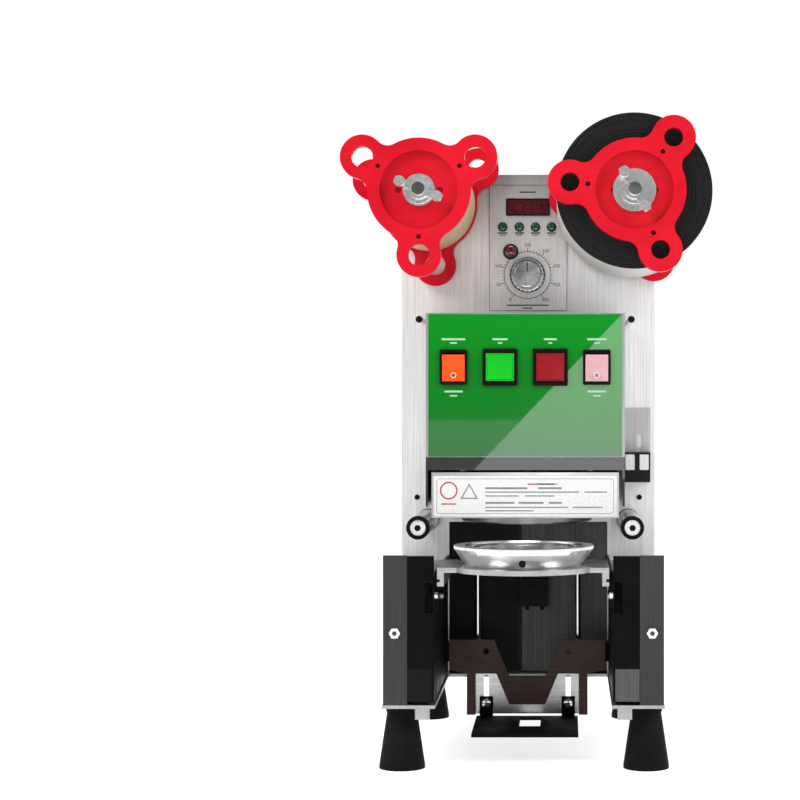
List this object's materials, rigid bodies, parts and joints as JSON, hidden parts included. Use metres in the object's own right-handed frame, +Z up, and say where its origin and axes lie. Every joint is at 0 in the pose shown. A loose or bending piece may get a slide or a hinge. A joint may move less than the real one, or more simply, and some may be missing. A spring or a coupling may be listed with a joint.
{
  "type": "cup sealing machine",
  "caption": "Counter-top film sealing machine for drinking cups, with two film rolls, a heated press head and a pull-out cup ring.",
  "frame": {"origin": "middle of the footprint, on the surface that the feet stand on", "axes": "+Z up, +X to the operator's right, the operator stands on the -Y side"},
  "size_m": [0.3486, 0.408, 0.6008],
  "materials": {
    "stainless": "brushed",
    "polished_steel": "polished",
    "black_steel": "semi-matte black",
    "green_panel": "gloss",
    "red_plastic": "satin moulded",
    "red_cap": "gloss",
    "green_cap": "gloss",
    "orange_cap": "gloss",
    "pink_cap": "gloss",
    "black_plastic": "matte",
    "lamp_plastic": "gloss",
    "dark_window": "gloss",
    "label_white": "satin",
    "phenolic": "satin laminate",
    "aluminium": "satin",
    "card_film": "wound film",
    "black_film": "wound film",
    "rubber": "matte",
    "bronze": "machined",
    "board": "satin"
  },
  "bodies": {
    "frame": {"cabinet_shell": "stainless", "front_panel": "stainless", "rear_cover": "stainless", "base_plate": "stainless", "columns": "stainless", "inner_guards": "black_steel", "feet": "rubber", "mains_inlet": "black_plastic", "case_screws": "polished_steel", "control_plate": "aluminium", "display_window": "dark_window", "indicator_lamps": "lamp_plastic", "control_board": "board", "potentiometer": "aluminium", "door_switch": "black_plastic", "bay_wall": "black_steel", "head_housing": "stainless", "fascia": "green_panel", "guide_block": "black_steel", "post_bushes": "bronze", "switch_bodies": "black_plastic", "seal_gearmotor": "black_steel", "takeup_motor": "black_steel", "roll_bearings": "aluminium", "film_guide_pins": "polished_steel", "film_sensor": "black_plastic", "slide_rails": "stainless", "guide_rods": "polished_steel", "rod_brackets": "black_steel", "phenolic_plate": "phenolic", "slotted_plate": "stainless"},
    "seal_head": {"yoke": "black_steel", "heater_cover": "stainless", "label_plate": "label_white", "head_plate": "aluminium", "guide_posts": "polished_steel", "heater_block": "aluminium", "sealing_die": "polished_steel"},
    "crank": {"crank": "polished_steel"},
    "cup_carriage": {"carriage_plate": "stainless", "cup_ring": "polished_steel", "carriage_screws": "black_steel"},
    "takeup_roll": {"takeup_shaft": "polished_steel", "takeup_flange_front": "red_plastic", "takeup_flange_back": "red_plastic", "takeup_film": "card_film"},
    "takeup_nut": {"takeup_wing_nut": "polished_steel"},
    "supply_roll": {"supply_shaft": "polished_steel", "supply_flange_front": "red_plastic", "supply_flange_back": "red_plastic", "supply_film": "black_film"},
    "supply_nut": {"supply_wing_nut": "polished_steel"},
    "roller_left": {"guide_roller_left": "aluminium"},
    "roller_right": {"guide_roller_right": "aluminium"},
    "start": {"start_button": "green_cap"},
    "stop": {"stop_button": "red_cap"},
    "left_rocker": {"rocker_left": "orange_cap"},
    "right_rocker": {"rocker_right": "pink_cap"},
    "knob": {"temperature_knob": "aluminium"},
    "cup_rest": {"cup_platform": "black_steel"}
  },
  "joints": [
    {"name": "seal_press", "type": "slide", "parent": "frame", "child": "seal_head", "axis": [0, 0, -1], "range_m": [0, 0.014]},
    {"name": "crank_turn", "type": "hinge", "parent": "frame", "child": "crank", "pos_m": [0, 0.007, 0.34], "axis": [0, 1, 0], "range_deg": [-1, 61]},
    {"name": "carriage_slide", "type": "slide", "parent": "frame", "child": "cup_carriage", "axis": [0, 1, 0], "range_m": [0, 0.12]},
    {"name": "takeup_spin", "type": "hinge", "parent": "frame", "child": "takeup_roll", "pos_m": [-0.0985, 0, 0.528], "axis": [0, 1, 0], "continuous": true},
    {"name": "takeup_nut_turn", "type": "hinge", "parent": "takeup_roll", "child": "takeup_nut", "pos_m": [-0.0985, -0.09, 0.528], "axis": [0, 1, 0], "continuous": true},
    {"name": "supply_spin", "type": "hinge", "parent": "frame", "child": "supply_roll", "pos_m": [0.1015, 0, 0.528], "axis": [0, 1, 0], "continuous": true},
    {"name": "supply_nut_turn", "type": "hinge", "parent": "supply_roll", "child": "supply_nut", "pos_m": [0.1015, -0.09, 0.528], "axis": [0, 1, 0], "continuous": true},
    {"name": "left_roller_spin", "type": "hinge", "parent": "frame", "child": "roller_left", "pos_m": [-0.0995, 0, 0.2145], "axis": [0, 1, 0], "continuous": true},
    {"name": "right_roller_spin", "type": "hinge", "parent": "frame", "child": "roller_right", "pos_m": [0.0995, 0, 0.2145], "axis": [0, 1, 0], "continuous": true},
    {"name": "start_press", "type": "slide", "parent": "frame", "child": "start", "axis": [0, 1, 0], "range_m": [0, 0.003], "stiffness_N_per_m": 400},
    {"name": "stop_press", "type": "slide", "parent": "frame", "child": "stop", "axis": [0, 1, 0], "range_m": [0, 0.003], "stiffness_N_per_m": 400},
    {"name": "left_rocker_tilt", "type": "hinge", "parent": "frame", "child": "left_rocker", "pos_m": [-0.0665, -0.079, 0.3635], "axis": [-1, 0, 0], "range_deg": [0, 14]},
    {"name": "right_rocker_tilt", "type": "hinge", "parent": "frame", "child": "right_rocker", "pos_m": [0.0665, -0.079, 0.3635], "axis": [-1, 0, 0], "range_deg": [0, 14]},
    {"name": "temperature_turn", "type": "hinge", "parent": "frame", "child": "knob", "pos_m": [-0.0006, 0.045, 0.4586], "axis": [0, 1, 0], "range_deg": [-135, 135]},
    {"name": "cup_rest_lift", "type": "slide", "parent": "frame", "child": "cup_rest", "axis": [0, 0, 1], "range_m": [0, 0.022]}
  ],
  "couplings": [
    {"joint": "crank_turn", "follows": "seal_press", "rad_per_m": 74.8}
  ]
}
